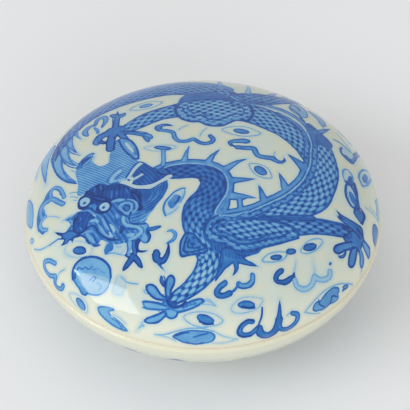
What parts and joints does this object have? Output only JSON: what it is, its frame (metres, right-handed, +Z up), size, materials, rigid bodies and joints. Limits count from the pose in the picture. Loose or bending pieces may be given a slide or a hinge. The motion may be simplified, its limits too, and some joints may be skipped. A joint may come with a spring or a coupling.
{
  "type": "seal paste box",
  "caption": "Round lidded porcelain box for seal paste, painted in cobalt blue with a dragon and clouds; its domed cover lifts off a footed base with a raised flange.",
  "frame": {"origin": "centre of the foot ring, on the surface that it stands on", "axes": "+Z up through the crown of the cover, +X to the right and -Y towards the viewer with the dragon's head at the left"},
  "size_m": [0.072, 0.072, 0.0314],
  "materials": {
    "base_porcelain": "gloss",
    "lid_porcelain": "gloss",
    "seal_paste": "satin"
  },
  "bodies": {
    "base": {"base": "base_porcelain", "seal_paste": "seal_paste"},
    "lid": {"lid": "lid_porcelain"}
  },
  "joints": [
    {"name": "lid_lift", "type": "slide", "parent": "base", "child": "lid", "axis": [0, 0, 1], "range_m": [0, 0.04]}
  ]
}
